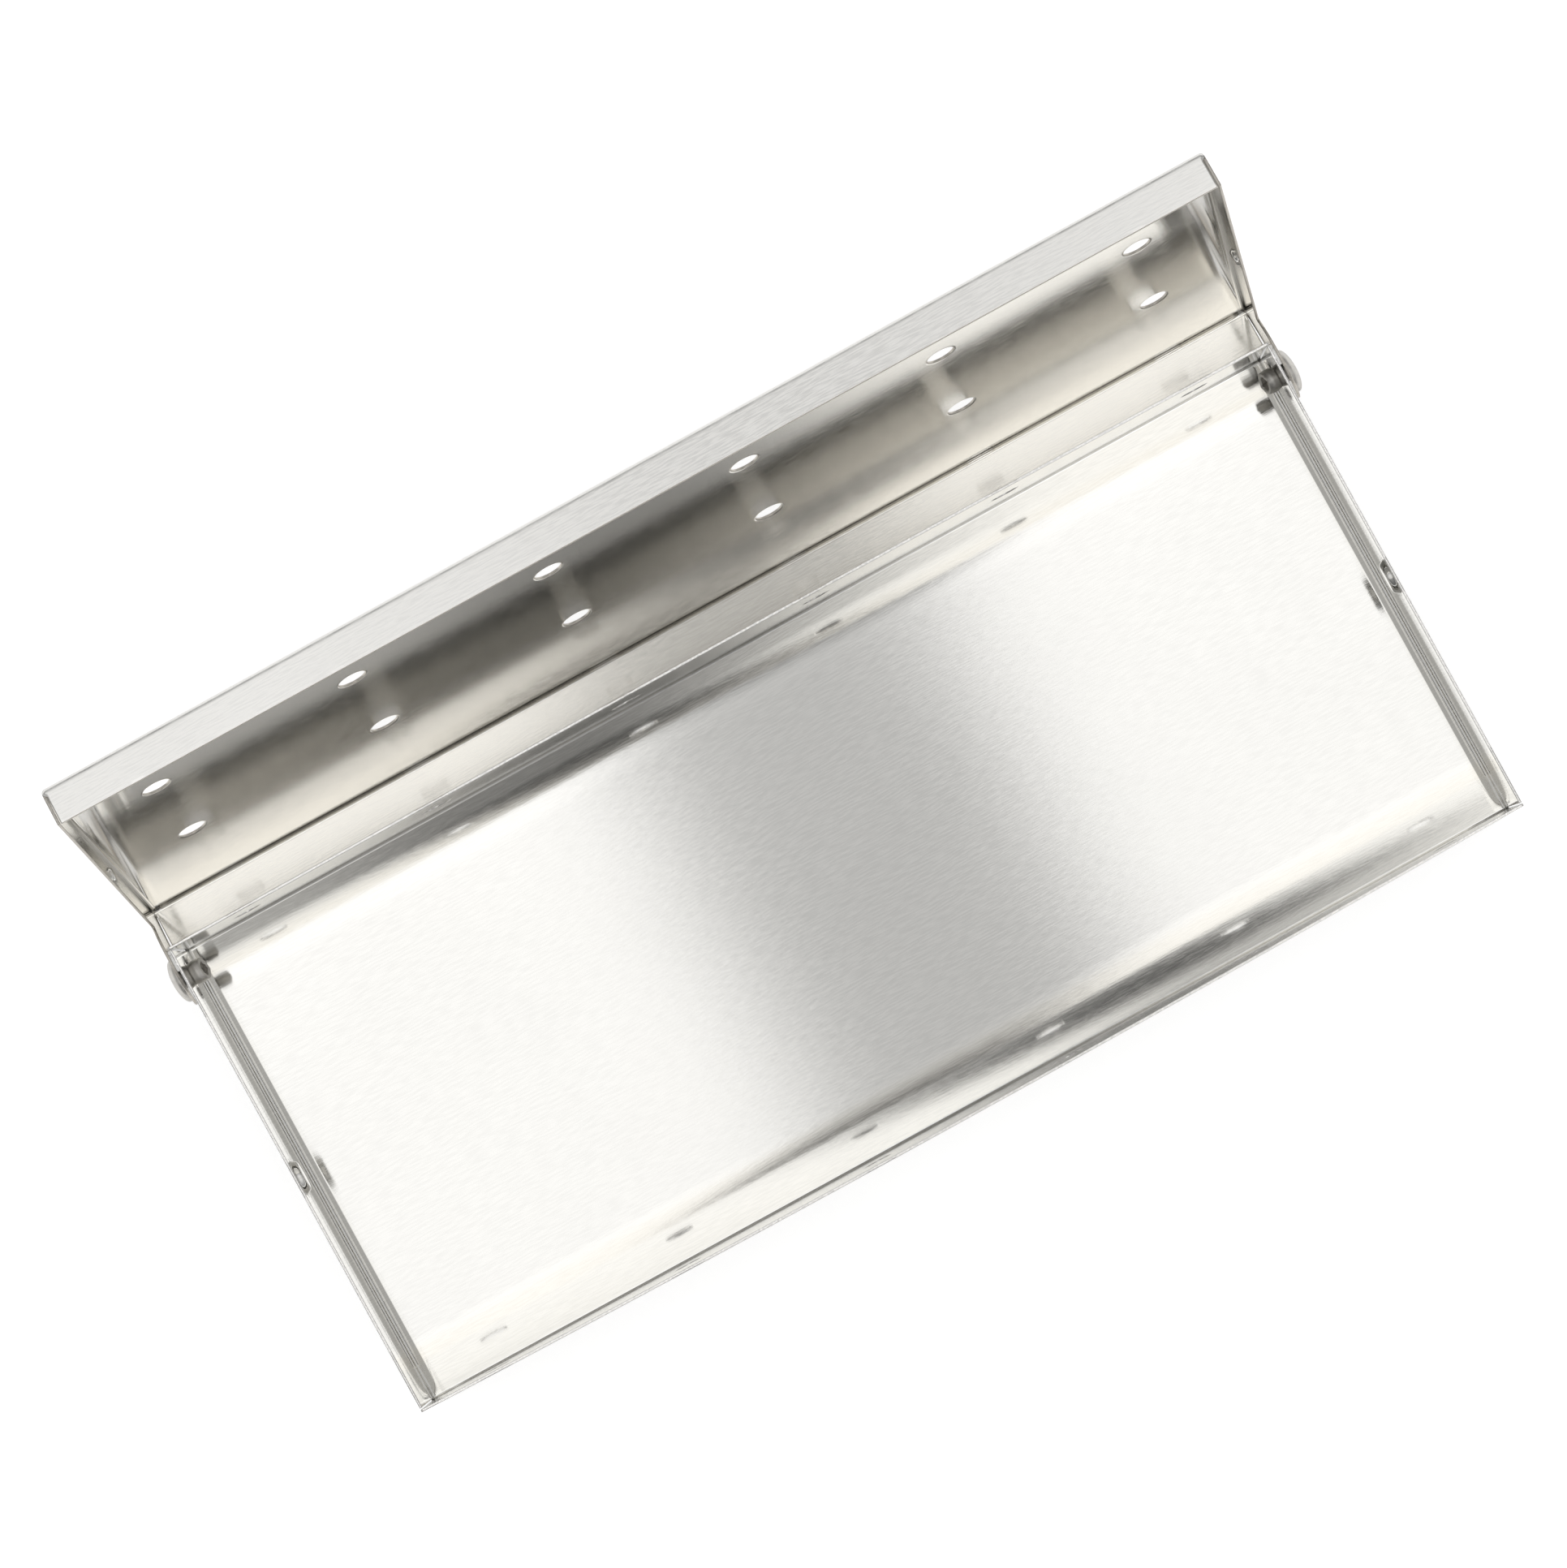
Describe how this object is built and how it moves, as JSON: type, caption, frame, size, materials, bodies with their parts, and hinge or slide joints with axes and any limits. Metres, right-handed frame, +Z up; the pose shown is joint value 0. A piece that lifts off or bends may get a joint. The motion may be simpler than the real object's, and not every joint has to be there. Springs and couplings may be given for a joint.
{
  "type": "grill smoker box",
  "caption": "Long shallow box of thin brushed steel sheet with vent holes and a vented lid that swings on side rivets, for wood chips on a grill.",
  "frame": {"origin": "middle of the underside of the tray's floor, where the box stands on the grill", "axes": "+X along the length to the right as seen from the front, +Y from the front to the hinge side, +Z up. Rest pose is the pictured one, with the lid open on its stop"},
  "size_m": [0.216, 0.1185, 0.1039],
  "materials": {
    "tray_sheet": "fine brushed along the length",
    "lid_sheet": "fine brushed along the length",
    "rivet_metal": "satin",
    "mandrel_metal": "rough broken steel"
  },
  "bodies": {
    "tray": {"tray": "tray_sheet", "rivet_left": "rivet_metal", "rivet_right": "rivet_metal", "mandrel_left": "mandrel_metal", "mandrel_right": "mandrel_metal"},
    "lid": {"lid": "lid_sheet"}
  },
  "joints": [
    {"name": "lid_hinge", "type": "hinge", "parent": "tray", "child": "lid", "pos_m": [0, 0.03885, 0.0228], "axis": [1, 0, 0], "range_deg": [0, 104]}
  ]
}
